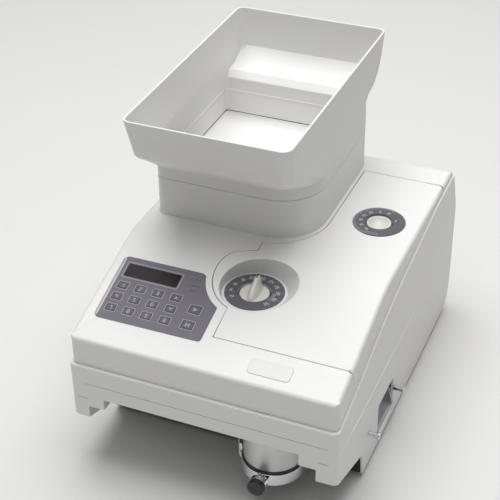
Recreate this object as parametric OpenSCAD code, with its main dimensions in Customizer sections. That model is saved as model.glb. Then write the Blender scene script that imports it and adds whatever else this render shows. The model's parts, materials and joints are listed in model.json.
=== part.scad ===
// Coin sorting machine: desktop housing with a lift-off hopper, a spinning coin disk on an inner deck,
// a belt-driven coin track, a hinged access lid with two setting dials, a keypad and a front bag outlet.
// X runs left to right, Y front to back, Z up. The origin is on the floor, in the middle of the plan.

/* [Housing] */
// Width of the lower housing
body_w = 340; // [330:1:350]
// Depth of the lower housing, front ledge to rear wall
body_l = 494; // [484:1:504]
// Wall thickness of the moulded shells
wall_t = 3; // [2.5:0.1:3.5]
// Height of the rubber feet
foot_h = 6; // [4:1:8]
// Height of the parting ledge at the front
ledge_front_z = 151.7; // [148:0.1:156]
// Width of the ledge that shows at the sides
ledge_side = 2.5; // [2:0.1:3.5]
// Width of the ledge that shows at the front
ledge_front = 4.5; // [3.5:0.1:5.5]
// Height of the front skirt's lower edge
skirt_z = 108; // [104:1:110]
// Height of the foot blocks' lower front edge
block_z = 75; // [70:1:80]

/* [Top cover] */
// Height of the sloped top above the front ledge line
slope_front_z = 188.2; // [186:0.1:190]
// Angle of the sloped top
slope_deg = 16.8; // [16:0.1:17.5]
// Height of the flat top behind the slope
flat_z = 239.6; // [237:0.1:242]
// Height of the collar that the hopper stands on
collar_z = 293; // [288:1:298]

/* [Hopper] */
// Height of the hopper rim
rim_z = 412; // [400:1:420]

/* [Dials] */
// Height of the size dial's pocket floor
pocket_z = 215; // [213:0.5:217]
// Radius of the size dial's scale ring
size_ring_r = 36.3; // [35:0.1:37]
// Radius of the size knob
size_knob_r = 18.6; // [17:0.1:19]
// Radius of the thickness dial's scale ring
thick_ring_r = 33; // [32:0.1:34]
// Radius of the thickness knob
thick_knob_r = 15.5; // [14.5:0.1:16]

/* [Mechanism] */
// Radius of the coin disk
disk_r = 96; // [94:0.5:97]
// Height of the deck's upper face
deck_z = 180; // [179:0.5:181]
// Thickness of the deck
deck_t = 4; // [3:0.5:5]
// Radial clearance of shafts in their bores
run_gap = 0.05; // [0.03:0.01:0.08]

/* [Outlets] */
// Outer radius of the bag tube
tube_r = 36; // [34:0.5:36.5]
// Height of the bag tube's lower end
tube_z = 46; // [44:1:50]

/* [Hidden] */

shell_white = [0.92, 0.92, 0.9];
panel_grey = [0.47, 0.46, 0.5];
dark_grey = [0.2, 0.2, 0.22];
steel = [0.75, 0.76, 0.78];
black = [0.06, 0.06, 0.06];

half_w = body_w / 2;
cover_half = half_w - ledge_side;
slope_tan = tan(slope_deg);
slope_cos = cos(slope_deg);
big = 400;

// The bag pegs, the clamp knob and the power inlet stand proud of the housing.
peg_reach = 14;
knob_reach = 18;
inlet_reach = 2.5;
// Y of a point at a distance d behind the front ledge.
function fy(d) = d - body_l / 2;
// Height of the sloped top at the distance d.
function slope_z(d) = slope_front_z + d * slope_tan;
function arc(cx, cy, r, a0, a1, n) =
    [for (i = [0:n]) let(a = a0 + (a1 - a0) * i / n) [cx + r * cos(a), cy + r * sin(a)]];
// Rounded rectangle with one radius at the front corners and one at the rear corners.
function rounded(x0, y0, x1, y1, rf, rb, n = 6) = concat(
    arc(x0 + rf, y0 + rf, rf, 180, 270, n), arc(x1 - rf, y0 + rf, rf, 270, 360, n),
    arc(x1 - rb, y1 - rb, rb, 0, 90, n), arc(x0 + rb, y1 - rb, rb, 90, 180, n));

// Extrudes an outline of [distance, height] points from x0 to x1.
module across_part(x0, x1, pts) {
    translate([x0, 0, 0])
        rotate([90, 0, 90])
            linear_extrude(x1 - x0)
                polygon([for (p = pts) [fy(p[0]), p[1]]]);
}
module across(pts, half) {
    across_part(-half, half, pts);
}
// Puts the middle of the whole machine's plan at the origin.
module centred() {
    translate([-peg_reach / 2, (knob_reach - inlet_reach) / 2, 0])
        children();
}
module plan(pts, z0, z1) {
    translate([0, 0, z0])
        linear_extrude(z1 - z0)
            polygon([for (p = pts) [p[0], fy(p[1])]]);
}
module box(lo, hi) {
    translate([lo[0], fy(lo[1]), lo[2]])
        cube([hi[0] - lo[0], hi[1] - lo[1], hi[2] - lo[2]]);
}
module post(x, d, r, z0, z1, fn = 48) {
    translate([x, fy(d), z0])
        cylinder(r = r, h = z1 - z0, $fn = fn);
}
module rod_x(x0, x1, d, z, r) {
    translate([x0, fy(d), z])
        rotate([0, 90, 0])
            cylinder(r = r, h = x1 - x0, $fn = 40);
}
module rod_y(d0, d1, x, z, r) {
    translate([x, fy(d1), z])
        rotate([90, 0, 0])
            cylinder(r = r, h = d1 - d0, $fn = 40);
}
// Frame on the sloped top: x across, y up the slope, z square to it.
module on_slope() {
    translate([0, fy(0), slope_front_z])
        rotate([slope_deg, 0, 0])
            children();
}
// A plate on the slope whose outline is given in [x, distance] points.
module slope_plate(pts, z0, z1) {
    on_slope()
        translate([0, 0, z0])
            linear_extrude(z1 - z0)
                polygon([for (p = pts) [p[0], p[1] / slope_cos]]);
}

// Parting line of the housing, from the front to the rear wall.
ledge_line = [[0, ledge_front_z], [12, ledge_front_z + 0.3], [42, 160], [76, 169], [130, 186], [154, 193],
    [205, 205], [263, 213.5], [328, 222], [390, 229], [459, 231]];
rear_line = [[484, 172], [494, 105], [494, 70], [480, 20], [465, foot_h]];
base_front = 100;
underside = [[base_front, foot_h], [95, 41.7], [0, block_z]];

// Lower housing
flange_h = 4;
block_in = 144;
step_in = 123;
step_in_left = -126;
block_in_left = -147;
step_z = 92;
tube_x = 77;
tube_d = 40;
outlet_d0 = 155;
outlet_d1 = 215;
outlet_z0 = 27;
outlet_z1 = 70;
peg_front = [118, 57];
peg_rear = [219, 50];
peg_r = 3.5;
inlet_x = -115;
switch_x = -60;
rear_panel_z = 87;

function inset_line(pts, t) = [for (p = pts) [p[0] - t, p[1]]];
module housing_outer() {
    intersection() {
        across(concat(ledge_line, rear_line, underside), half_w);
        plan(rounded(-half_w, 0, half_w, body_l, 8, 10), 0, big);
    }
}
module housing_cavity(t, top) {
    intersection() {
        across(concat([[95, -1], [95, 44.9], [97, 47], [97, skirt_z], [base_front + 3.5, skirt_z],
            [base_front + 3.5, skirt_z + wall_t], [t, skirt_z + wall_t]],
            [for (p = ledge_line) [max(p[0], t) - (p[0] > 450 ? t : 0), p[1] + top]],
            inset_line(rear_line, t), [[465 - t, -1]]), half_w - t);
        plan(rounded(-half_w + t, t, half_w - t, body_l - t, 5, 7), -2, big);
    }
}
module block_cavity(x0, x1, z_step, x_step) {
    across_part(x0, x1, [[wall_t, block_z + wall_t], [base_front - 3, 44.5 + wall_t], [base_front + 4, 60],
        [base_front + 4, skirt_z + 10], [wall_t, skirt_z + 10]]);
    box([min(x_step, x0), wall_t, z_step + wall_t], [max(x_step, x1), base_front + 1, skirt_z + 10]);
}
module lower_housing() {
    color(shell_white)
    difference() {
        housing_outer();
        housing_cavity(wall_t, -flange_h);
        housing_cavity(ledge_front + wall_t, 5);
        block_cavity(block_in + wall_t, half_w - wall_t, step_z, step_in + wall_t);
        block_cavity(-half_w + wall_t, block_in_left - wall_t, step_z, step_in_left - wall_t);
        box([step_in_left, -1, 0], [step_in, base_front + 5, skirt_z]);
        box([block_in_left, -1, 0], [step_in_left + 1, base_front + 5, step_z]);
        box([step_in - 1, -1, 0], [block_in, base_front + 5, step_z]);
        post(tube_x, tube_d, tube_r + 0.3, 90, 160);
        box([half_w - 10, outlet_d0, outlet_z0], [half_w + 10, outlet_d1, outlet_z1]);
        rod_x(half_w - 10, half_w + 10, peg_front[0], peg_front[1], peg_r);
        rod_x(half_w - 10, half_w + 10, peg_rear[0], peg_rear[1], peg_r);
        box([inlet_x - 15, 480, rear_panel_z - 11], [inlet_x + 15, 500, rear_panel_z + 11]);
        box([switch_x - 10, 480, rear_panel_z - 7], [switch_x + 10, 500, rear_panel_z + 7]);
    }
}

// Base pan, with the upturned front wall of the pedestal
module base_pan() {
    pan_half = half_w - wall_t - 0.5;
    color(black)
    union() {
        box([-pan_half, base_front + 0.3, foot_h], [pan_half, 461, foot_h + 2]);
        box([-pan_half, base_front + 0.3, foot_h], [pan_half, base_front + 2.3, skirt_z - 0.5]);
    }
}
foot_x = 140;
foot_front = 125;
foot_rear = 435;
module rubber_feet() {
    color(black)
    for (x = [-foot_x, foot_x], d = [foot_front, foot_rear])
        translate([x, fy(d), 0])
            cylinder(r1 = 9, r2 = 11, h = foot_h, $fn = 48);
}

// Top cover
cover_blend_r = 150;
cover_front_z = ledge_front_z + 0.3 * ledge_front / 12;
flat_d = (flat_z - slope_front_z) / slope_tan;
blend_len = cover_blend_r * tan(slope_deg / 2);
edge_r = 6;
// Side outline of the cover, inset by t, without its lower edge.
function cover_top(t) =
    let(r = edge_r - t / 2, x0 = ledge_front + t, zf = flat_z - t, drop = t / slope_cos,
        fd = flat_d, k = r / tan(45 + slope_deg / 2 ))
    concat(
        arc(x0 + r, slope_z(x0 + r) - drop - r / slope_cos, r, 180, 90 + slope_deg, 5),
        arc(fd + blend_len, zf - cover_blend_r, cover_blend_r, 90 + slope_deg, 90, 8),
        arc(455 - t - r, zf - r, r, 90, 20, 4));
cover_x0 = -153;
cover_x1 = 54;
collar_d0 = 216.5;
collar_d1 = 431;
// Plan of the collar and the hopper neck, with a large front right corner.
function collar_plan(t) = concat(
    arc(cover_x0 + 11, collar_d0 + 11, 11 - t, 180, 270, 6),
    arc(cover_x1 - 60, collar_d0 + 60, 60 - t, 270, 360, 10),
    arc(cover_x1 - 10, collar_d1 - 10, 10 - t, 0, 90, 5),
    arc(cover_x0 + 10, collar_d1 - 10, 10 - t, 90, 180, 5));
// The cover's solid outline, with its lower edge raised by lift above the ledge.
module cover_outer(lift = 0) {
    intersection() {
        across(concat(cover_top(0), [[459, 231 + lift]],
            [for (i = [len(ledge_line) - 2:-1:1]) [ledge_line[i][0], ledge_line[i][1] + lift]],
            [[ledge_front, cover_front_z + lift]]), cover_half);
        plan(rounded(-cover_half, ledge_front, cover_half, body_l, 8, 10), 0, big);
    }
}
module cover_inner() {
    intersection() {
        across(concat(cover_top(wall_t), [[459 - wall_t, 231], [459 - wall_t, 100],
            [ledge_front + wall_t, 100]]), cover_half - wall_t);
        plan(rounded(-cover_half + wall_t, ledge_front + wall_t, cover_half - wall_t, body_l, 5, 7), 0, big);
    }
}
// Plan of the access lid and of its opening in the cover, each g away from the middle of the seam.
lid_d0 = 50.8;
lid_d1 = 412.8;
hinge_gap = 0.7;
function lid_side(g, hinge_edge) = concat(
    [[half_w + 5, lid_d0 + g], [-2.8 + g, lid_d0 + g]],
    arc(13, 143, 52 - g, 252.3, 145, 16),
    [[-2 + g, 186 - g], [-3 + g, 201.5 - g]],
    arc(-17, 277, 75.5 + g, 281.4, 360, 12),
    [[58.5 + g, hinge_edge], [half_w + 5, hinge_edge]]);
lid_gap = 0.4;
lid_lean = 9;
// The lid's opening. Its front seam leans back as it goes down, so that the lid swings clear; g as above.
module lid_zone(g, hinge_edge, z0, z1) {
    difference() {
        plan(lid_side(g, hinge_edge), z0, z1);
        across_part(-10, half_w + 6, [[20, 90], [lid_d0 + lid_lean + g, 90],
            [lid_d0 + lid_lean + g, 162], [lid_d0 + g, 204], [20, 204]]);
    }
}
hinge_z = flat_z - 3.6;
hinge_r = 2.5;
pin_r = 1.1;
hinge_x = [78, 144];
knuckle_w = 8;
key_cols = [-137.8, -114.4, -91, -67];
key_rows = [89, 72.6, 56];
key_w = 12;
key_l = 9;
big_key_x = -38;
big_keys = [79.6, 57.4];
big_key_w = 14;
big_key_l = 11;
key_gap = 0.3;
badge = [52, 17.5, 104, 38];
board_top = -7.4;
board_bosses = [[-146, 47], [-24, 47], [-146, 119], [-58, 118]];
panel_pts = concat(arc(-147, 43.5, 4.5, 270, 180, 4), arc(-148, 126, 4.5, 180, 90, 4),
    arc(-51, 127, 4, 90, 40, 4), arc(13, 143, 60, 194, 239, 8), arc(-17, 88, 3, 40, 0, 3),
    arc(-18, 43.5, 3.5, 0, -90, 4));
module key_hole(x, d, w, l, z0, z1) {
    on_slope()
        translate([x - w / 2, d / slope_cos - l / 2, z0])
            cube([w, l, z1 - z0]);
}
module all_keys(grow, z0, z1) {
    for (x = key_cols, d = key_rows)
        key_hole(x, d, key_w + grow, key_l + grow, z0, z1);
    for (d = big_keys)
        key_hole(big_key_x, d, big_key_w + grow, big_key_l + grow, z0, z1);
}
module top_cover() {
    color(shell_white)
    union() {
        difference() {
            union() {
                cover_outer();
                plan(collar_plan(0), flat_z - 6, collar_z);
            }
            cover_inner();
            plan(collar_plan(wall_t), flat_z - 10, collar_z + 1);
            lid_zone(-lid_gap, lid_d1 + hinge_gap, 100, flat_z + 1);
            slope_plate(panel_pts, -0.6, 5);
            slope_plate(rounded(badge[0], badge[1], badge[2], badge[3], 5, 5), -0.5, 5);
            all_keys(2 * key_gap, -6, 1);
            for (x = hinge_x)
                rod_x(x - knuckle_w / 2 - 0.4, x + knuckle_w / 2 + 0.4, lid_d1, hinge_z, hinge_r + 0.5);
        }
        for (p = board_bosses)
            on_slope()
                translate([p[0], p[1] / slope_cos, board_top])
                    cylinder(r = 3, h = -board_top - 2, $fn = 32);
        for (x = hinge_x, s = [-1, 1])
            hinge_knuckle(x + s * (knuckle_w + 1), lid_d1 + 8, pin_r);
    }
}
// A hinge barrel with a web that runs back to the shell at the distance d.
module hinge_knuckle(x, d, bore_r) {
    difference() {
        union() {
            rod_x(x - knuckle_w / 2, x + knuckle_w / 2, lid_d1, hinge_z, hinge_r);
            box([x - knuckle_w / 2, min(lid_d1, d), hinge_z - hinge_r],
                [x + knuckle_w / 2, max(lid_d1, d), hinge_z + 0.8]);
        }
        rod_x(x - knuckle_w, x + knuckle_w, lid_d1, hinge_z, bore_r);
    }
}
module lid_hinge_pins() {
    color(steel)
    for (x = hinge_x)
        rod_x(x - 1.5 * knuckle_w - 1, x + 1.5 * knuckle_w + 1, lid_d1, hinge_z, pin_r);
}

// Access lid, with the size dial's pocket
size_x = 14.7;
size_d = 134.5;
thick_x = 115.3;
thick_d = 299.8;
pocket_top = pocket_z + 30;
module pocket_cone(grow, z0, z1) {
    hull() {
        post(size_x, size_d, size_ring_r + 3.2 + grow, z0, z0 + 0.01, 48);
        post(28, 118.5, 56.5 + grow, z1 - 0.01, z1, 48);
    }
}
module access_lid() {
    color(shell_white)
    difference() {
        union() {
            intersection() {
                difference() {
                    cover_outer(0.4);
                    cover_inner();
                }
                lid_zone(lid_gap, lid_d1 - hinge_gap, 100, big);
            }
            intersection() {
                cover_outer();
                plan(lid_side(lid_gap, lid_d1 - hinge_gap), 150, big);
                pocket_cone(2.5, pocket_z - 2.5, pocket_top - 2.5);
            }
            for (x = hinge_x)
                hinge_knuckle(x, lid_d1 - 8, pin_r + run_gap);
        }
        pocket_cone(0, pocket_z, pocket_top);
        post(size_x, size_d, size_knob_r + 1.7, 200, 260, 64);
        post(thick_x, thick_d, thick_ring_r + 0.2, flat_z - 1.4, 260, 64);
        post(thick_x, thick_d, thick_knob_r + 1.6, 200, 260, 64);
        for (x = hinge_x, s = [-1, 1])
            rod_x(x + s * (knuckle_w + 1) - knuckle_w / 2 - 0.4,
                x + s * (knuckle_w + 1) + knuckle_w / 2 + 0.4, lid_d1, hinge_z, hinge_r + 0.5);
        for (x = hinge_x)
            rod_x(x - knuckle_w, x + knuckle_w, lid_d1, hinge_z, pin_r + run_gap);
    }
}
module ring(x, d, r_out, r_in, z0, z1) {
    difference() {
        post(x, d, r_out, z0, z1, 72);
        post(x, d, r_in, z0 - 1, z1 + 1, 72);
    }
}
module size_scale_ring() {
    color(dark_grey)
    ring(size_x, size_d, size_ring_r, size_knob_r + 1.9, pocket_z, pocket_z + 1.2);
}
module thickness_scale_ring() {
    color(dark_grey)
    ring(thick_x, thick_d, thick_ring_r, thick_knob_r + 1.8, flat_z - 1.4, flat_z + 0.4);
}

// Setting dials and what they move
shaft_r = 3;
pinion_r = 4.5;
ridge_l = 33;
module size_knob() {
    color(shell_white)
    difference() {
        union() {
            post(size_x, size_d, size_knob_r, pocket_z - 6, pocket_z + 6, 72);
            translate([size_x, fy(size_d), pocket_z])
                rotate([90, 0, 3])
                    translate([0, 0, -ridge_l / 2])
                        linear_extrude(ridge_l)
                            polygon([[-7.5, 0], [7.5, 0], [1.8, 17], [-1.8, 17]]);
        }
        post(size_x, size_d, shaft_r, pocket_z - 7, pocket_z + 8);
    }
}
module size_shaft() {
    color(steel)
    union() {
        post(size_x, size_d, shaft_r, deck_z - deck_t - 4, pocket_z + 8);
        post(size_x, size_d, pinion_r, deck_z + 4, deck_z + 10);
    }
}
rail_x = 60;
module size_rail() {
    rack_d = size_d + pinion_r + 0.3;
    color(steel)
    union() {
        box([rail_x, 100, deck_z + 4], [rail_x + 4, 235, deck_z + 9]);
        box([4, rack_d, deck_z + 4.5], [rail_x + 1, rack_d + 6, deck_z + 8.5]);
    }
}
module thickness_knob() {
    color(shell_white)
    difference() {
        post(thick_x, thick_d, thick_knob_r, flat_z - 14, flat_z - 1, 64);
        translate([thick_x, fy(thick_d), flat_z + 9])
            sphere(r = 16.5, $fn = 64);
        post(thick_x, thick_d, shaft_r, flat_z - 15, flat_z - 11);
    }
}
module thickness_shaft() {
    color(steel)
    post(thick_x, thick_d, shaft_r, deck_z - deck_t - 4, flat_z - 11);
}
gate_d = 288;
module thickness_gate() {
    color(steel)
    difference() {
        union() {
            post(thick_x, thick_d, 8, deck_z + 12, deck_z + 20);
            box([66, gate_d, deck_z + 13], [thick_x, gate_d + 6, deck_z + 19]);
            box([66, gate_d, deck_z + 7], [96, gate_d + 3, deck_z + 19]);
        }
        post(thick_x, thick_d, shaft_r + run_gap, deck_z, deck_z + 30);
    }
}

// Keypad
display = [-144, 102.5, -73.5, 121];
module keypad_overlay() {
    color(panel_grey)
    difference() {
        slope_plate(panel_pts, -0.6, 0.4);
        slope_plate(rounded(display[0], display[1], display[2], display[3], 1.5, 1.5), -2, 2);
        for (d = light_rows)
            slope_plate(rounded(light_x - 3, d - 1.5, light_x + 3, d + 1.5, 0.6, 0.6), -2, 2);
        all_keys(2 * key_gap, -2, 2);
    }
}
module display_window() {
    color([0.05, 0.03, 0.04])
    slope_plate(rounded(display[0] + 0.1, display[1] + 0.1, display[2] - 0.1, display[3] - 0.1, 1.4, 1.4),
        -0.6, 0.5);
}
light_x = -60.5;
light_rows = [120, 111, 104];
module indicator_lights() {
    color([0.8, 0.8, 0.85])
    for (d = light_rows)
        slope_plate(rounded(light_x - 2.9, d - 1.4, light_x + 2.9, d + 1.4, 0.5, 0.5), -0.6, 0.6);
}
module key(x, d, w, l) {
    color(dark_grey)
    on_slope()
        translate([x, d / slope_cos, -2.8])
            linear_extrude(3.6)
                polygon(rounded(-w / 2, -l / 2, w / 2, l / 2, 1.5, 1.5, 4));
}
module grid_key(i) {
    key(key_cols[i % 4], key_rows[floor(i / 4)], key_w, key_l);
}
module key_start() {
    key(big_key_x, big_keys[0], big_key_w, big_key_l);
}
module key_clear() {
    key(big_key_x, big_keys[1], big_key_w, big_key_l);
}
module badge_plate() {
    color(steel)
    slope_plate(rounded(badge[0] + 0.2, badge[1] + 0.2, badge[2] - 0.2, badge[3] - 0.2, 5, 5), -0.5, 0.6);
}
module control_board() {
    color([0.1, 0.4, 0.2])
    slope_plate([[-150, 42], [-20, 42], [-20, 84], [-55, 124], [-150, 124]], board_top - 1.6, board_top);
}

// Deck
deck_half = 156;
disk_x = -49.5;
disk_d = 324;
post_places = [[-148, 112], [148, 112], [-148, 440], [148, 440], [-148, 340], [148, 240]];
module deck_plate() {
    color([0.8, 0.81, 0.82])
    difference() {
        plan(rounded(-deck_half, 14, deck_half, 448, 6, 6), deck_z - deck_t, deck_z);
        post(disk_x, disk_d, 11, 150, 200);
        post(size_x, size_d, shaft_r + run_gap, 150, 200);
        post(thick_x, thick_d, shaft_r + run_gap, 150, 200);
        post(tube_x, tube_d + 4, 26, 150, 200);
    }
}
module deck_posts() {
    color(steel)
    for (p = post_places)
        post(p[0], p[1], 5, foot_h + 2, deck_z - deck_t);
}
module disk_bearing() {
    color([0.7, 0.55, 0.3])
    ring(disk_x, disk_d, 11, 6 + run_gap, deck_z - 14, deck_z);
}
module disk_shaft() {
    color(steel)
    post(disk_x, disk_d, 6, 138, deck_z + 4);
}
module coin_disk() {
    color([0.85, 0.85, 0.84])
    difference() {
        union() {
            post(disk_x, disk_d, disk_r, deck_z + 1, deck_z + 4, 96);
            translate([disk_x, fy(disk_d), deck_z + 4])
                cylinder(r1 = 18, r2 = 8, h = 9, $fn = 48);
        }
        post(disk_x, disk_d, 6, deck_z, deck_z + 4);
    }
}
belt_z = 152;
disk_pulley_r = 45;
motor_pulley_r = 12;
motor_x = 62;
module disk_pulley() {
    color(dark_grey)
    ring(disk_x, disk_d, disk_pulley_r, 6, belt_z - 4, belt_z + 8);
}
bowl_top = flat_z - wall_t - 0.4;
tray_d = 350;
tray_z = 206;
tray_seam_z = 214;
// Rounded floor of the feed tray behind the disk's well, at the height z; inset narrows it.
module tray_floor(inset, z, h) {
    plan(rounded(cover_x0 + wall_t + inset, tray_d - 4, cover_x1 - wall_t - inset,
        collar_d1 - wall_t - inset, 2, 9 + inset), z, z + h);
}
module feed_bowl() {
    color(shell_white)
    difference() {
        union() {
            post(disk_x, disk_d, disk_r + 5, deck_z, bowl_top, 96);
            plan(collar_plan(wall_t), bowl_top - 20, bowl_top);
            intersection() {
                plan(collar_plan(wall_t), tray_z - 8, bowl_top);
                box([-200, tray_d, tray_z - 8], [200, 440, bowl_top]);
            }
        }
        post(disk_x, disk_d, disk_r + 2, deck_z - 1, tray_z - 8, 96);
        difference() {
            union() {
                post(disk_x, disk_d, disk_r + 2, tray_z - 9, big, 96);
                translate([disk_x, fy(disk_d), bowl_top - 17])
                    cylinder(r1 = disk_r + 2, r2 = disk_r + 60, h = 17.1, $fn = 96);
            }
            box([-200, tray_d, 150], [200, 500, big + 1]);
        }
        tray_floor(2.4, tray_seam_z, 40);
        tray_floor(3.2, tray_seam_z - 0.9, 1);
        hull() {
            tray_floor(3.6, tray_seam_z - 0.9, 0.01);
            tray_floor(10, tray_z, 0.01);
        }
        box([30, 262, deck_z - 1], [70, 318, deck_z + 14]);
    }
}
module main_motor() {
    color([0.3, 0.3, 0.32])
    difference() {
        union() {
            post(motor_x, disk_d, 30, 60, 134, 64);
            box([motor_x - 34, disk_d - 34, foot_h + 2], [motor_x + 34, disk_d + 34, 60]);
        }
        post(motor_x, disk_d, 4 + run_gap, 112, 140);
        box([motor_x - 30, disk_d - 40, foot_h + 1], [motor_x + 30, disk_d + 40, 56]);
    }
}
module motor_pulley() {
    color(steel)
    union() {
        post(motor_x, disk_d, 4, 114, belt_z);
        post(motor_x, disk_d, motor_pulley_r, belt_z - 4, belt_z + 8);
    }
}
module belt_loop(x0, r0, x1, r1) {
    hull() {
        translate([x0, 0])
            circle(r = r0, $fn = 64);
        translate([x1, 0])
            circle(r = r1, $fn = 64);
    }
}
module main_belt() {
    color(black)
    translate([0, fy(disk_d), belt_z - 2])
        linear_extrude(8)
            difference() {
                belt_loop(disk_x, disk_pulley_r + 1.9, motor_x, motor_pulley_r + 1.9);
                belt_loop(disk_x, disk_pulley_r + 0.4, motor_x, motor_pulley_r + 0.4);
            }
}

// Coin track
track_z = deck_z + 3.5;
track_x0 = 56;
track_x1 = 100;
roller_r = 8;
roller_z = deck_z + 15;
front_roller_d = 92;
rear_roller_d = 262;
roller_x0 = 79;
roller_x1 = 91;
axle_r = 2.5;
module ear(x0, x1, d) {
    difference() {
        box([x0, d - 5, track_z - 1], [x1, d + 5, roller_z + 5]);
        rod_x(x0 - 1, x1 + 1, d, roller_z, axle_r + run_gap);
    }
}
module coin_track() {
    color([0.8, 0.8, 0.82])
    union() {
        difference() {
            box([track_x0, 74, deck_z], [track_x1, 320, track_z]);
            post(disk_x, disk_d, disk_r + 5.3, 170, 190, 96);
        }
        box([97, 74, deck_z], [track_x1, 284, track_z + 6]);
        for (d = [front_roller_d, rear_roller_d]) {
            ear(74, 77, d);
            ear(93, 96, d);
        }
    }
}
module front_pulley() {
    color(dark_grey)
    union() {
        rod_x(roller_x0, roller_x1, front_roller_d, roller_z, roller_r);
        rod_x(73, 112, front_roller_d, roller_z, axle_r);
    }
}
module rear_pulley() {
    color(dark_grey)
    union() {
        rod_x(roller_x0, roller_x1, rear_roller_d, roller_z, roller_r);
        rod_x(73, 97, rear_roller_d, roller_z, axle_r);
    }
}
module flat_loop(r) {
    hull() {
        translate([fy(front_roller_d), roller_z])
            circle(r = r, $fn = 40);
        translate([fy(rear_roller_d), roller_z])
            circle(r = r, $fn = 40);
    }
}
module feed_belt() {
    color([0.25, 0.35, 0.3])
    translate([roller_x0 + 1, 0, 0])
        rotate([90, 0, 90])
            linear_extrude(roller_x1 - roller_x0 - 2)
                difference() {
                    flat_loop(roller_r + 1.6);
                    flat_loop(roller_r + 0.4);
                }
}
module feed_motor() {
    color([0.3, 0.3, 0.32])
    difference() {
        union() {
            rod_x(102, 142, front_roller_d, roller_z, 12);
            box([106, front_roller_d - 10, deck_z], [138, front_roller_d + 10, roller_z]);
        }
        rod_x(101, 113, front_roller_d, roller_z, axle_r + run_gap);
    }
}
module count_sensor() {
    color(black)
    difference() {
        box([50, 73, deck_z], [108, 79, deck_z + 20]);
        box([55.5, 70, deck_z - 1], [101, 82, deck_z + 12]);
    }
}

// Electrics
module power_supply() {
    color([0.7, 0.7, 0.72])
    box([-150, 160, foot_h + 2], [-60, 300, 62]);
}
module power_inlet() {
    color(black)
    difference() {
        union() {
            box([inlet_x - 14.8, 470, rear_panel_z - 10.8], [inlet_x + 14.8, body_l, rear_panel_z + 10.8]);
            box([inlet_x - 22, body_l, rear_panel_z - 14],
                [inlet_x + 22, body_l + inlet_reach, rear_panel_z + 14]);
        }
        box([inlet_x - 12, 476, rear_panel_z - 8], [inlet_x + 12, 500, rear_panel_z + 8]);
    }
}
rocker_d = 486;
rocker_tilt = 8;
// Rocker at its off position, tilted about its pivot.
module power_switch() {
    color(black)
    translate([0, fy(rocker_d), rear_panel_z])
        rotate([-rocker_tilt, 0, 0])
            difference() {
                union() {
                    rotate([0, 90, 0])
                        translate([0, 0, switch_x - 9])
                            cylinder(r = 5.5, h = 18, $fn = 40);
                    translate([switch_x - 9, 0, -5.5])
                        cube([18, 9.5, 11]);
                }
                translate([switch_x - 10, 19, 0])
                    rotate([0, 90, 0])
                        cylinder(r = 11, h = 20, $fn = 48);
            }
}

// Front bag outlet
clamp_z0 = 44;
clamp_z1 = 60;
hinge_px = tube_x - tube_r - 5.5;
clamp_pin_r = 2;
knuckle_r = 4.2;
knob_z = 54;
module bag_tube() {
    color([0.72, 0.72, 0.73])
    union() {
        ring(tube_x, tube_d, tube_r, tube_r - 2, tube_z, 146);
        ring(tube_x, tube_d, tube_r, 24, 146, 148);
        ring(tube_x, tube_d + 4, 26, 24, 147, deck_z - deck_t);
    }
}
module half_ring(r_out, r_in, z0, z1, front) {
    intersection() {
        ring(tube_x, tube_d, r_out, r_in, z0, z1);
        box([tube_x - 60, front ? tube_d - 60 : tube_d + 0.4, z0 - 1],
            [tube_x + 60, front ? tube_d - 0.4 : tube_d + 60, z1 + 1]);
    }
}
module clamp_knuckle(z0, z1, d, bore_r) {
    difference() {
        union() {
            post(hinge_px, tube_d, knuckle_r, z0, z1);
            box([hinge_px, min(d, tube_d), z0], [tube_x - tube_r - 0.8, max(d, tube_d), z1]);
        }
        post(hinge_px, tube_d, bore_r, z0 - 1, z1 + 1);
    }
}
module clamp_band() {
    color(steel)
    union() {
        difference() {
            half_ring(tube_r + 2.6, tube_r, clamp_z0, clamp_z1, false);
            post(hinge_px, tube_d, knuckle_r + 0.4, clamp_z0 - 1, clamp_z0 + 8.8);
        }
        clamp_knuckle(clamp_z0 + 9, clamp_z1 + 14, tube_d + 6, clamp_pin_r);
    }
}
module clamp_jaw() {
    color(steel)
    difference() {
        union() {
            difference() {
                half_ring(tube_r + 2.6, tube_r + 0.4, clamp_z0, clamp_z1, true);
                post(hinge_px, tube_d, knuckle_r + 0.4, clamp_z0 + 8.8, clamp_z1 + 1);
            }
            clamp_knuckle(clamp_z0, clamp_z0 + 8.6, tube_d - 6, clamp_pin_r + run_gap);
            rod_y(-1.5, tube_d - tube_r - 1.4, tube_x, knob_z, 5.6);
        }
        rod_y(-10, tube_d - 10, tube_x, knob_z, 3 + run_gap);
    }
}
module clamp_pin() {
    color(steel)
    post(hinge_px, tube_d, clamp_pin_r, clamp_z0 - 4, clamp_z1 + 16);
}
module clamp_knob() {
    color(black)
    union() {
        rod_y(-5, tube_d - tube_r - 0.6, tube_x, knob_z, 3);
        rod_y(-6, -2, tube_x, knob_z, 8.2);
        rod_y(-knob_reach, -5.5, tube_x, knob_z, 10.4);
    }
}

// Side outlet
module side_chute() {
    color(shell_white)
    difference() {
        across_x(outlet_d0 + 0.2, outlet_d1 - 0.2, [[half_w + 1, outlet_z0 + 0.2],
            [half_w + 1, outlet_z0 + 4], [half_w - 8, outlet_z1 - 0.2], [110, 110], [110, 68]]);
        across_x(outlet_d0 + 3.2, outlet_d1 - 3.2, [[half_w + 20, outlet_z0 + 3.5],
            [half_w - 3, outlet_z0 + 3.5], [109, 72], [109, 130], [half_w + 20, 130]]);
    }
}
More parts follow.
